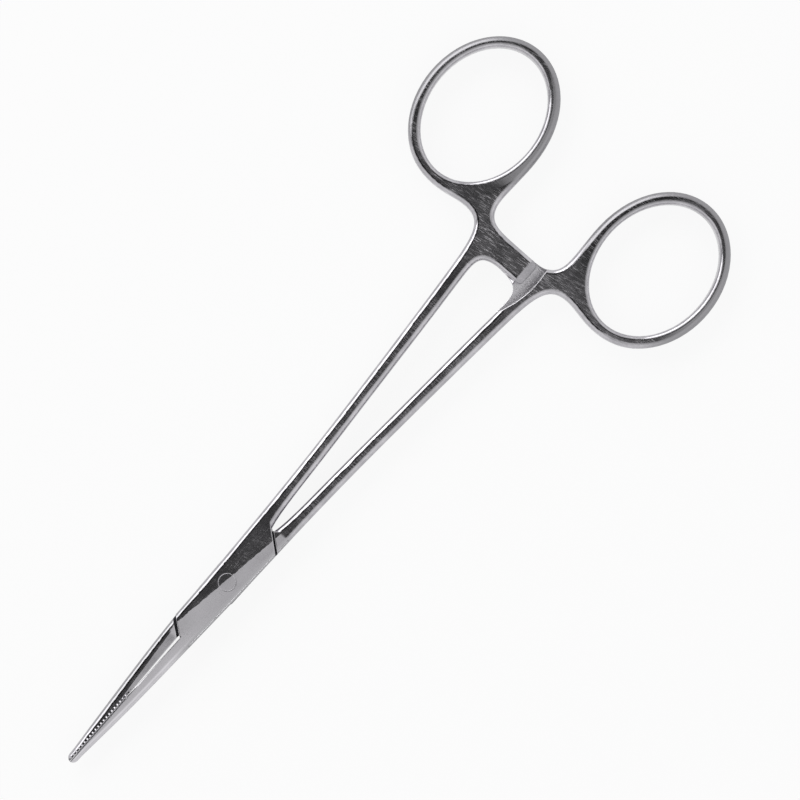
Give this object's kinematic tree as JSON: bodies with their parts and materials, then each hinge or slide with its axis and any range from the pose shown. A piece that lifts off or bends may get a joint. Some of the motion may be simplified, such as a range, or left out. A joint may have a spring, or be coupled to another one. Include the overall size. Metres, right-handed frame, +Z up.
{
  "type": "hemostat forceps",
  "caption": "Straight locking forceps with finger rings, a ratchet between the shanks, a box lock and finely serrated clamping jaws.",
  "frame": {"origin": "on the rivet's axis, at the underside of the box", "axes": "+X towards the jaw tips, +Y towards the tongue half's finger ring, +Z up out of the face that it lies on"},
  "size_m": [0.14, 0.061, 0.0045],
  "materials": {
    "polished_steel": "polished",
    "rivet_steel": "polished"
  },
  "bodies": {
    "box_body": {"box_half": "polished_steel", "pivot_pin": "rivet_steel"},
    "tongue_body": {"tongue_half": "polished_steel"}
  },
  "joints": [
    {"name": "box_lock", "type": "hinge", "parent": "box_body", "child": "tongue_body", "pos_m": [0, 0, 0.00225], "axis": [0, 0, -1], "range_deg": [0, 60]}
  ]
}
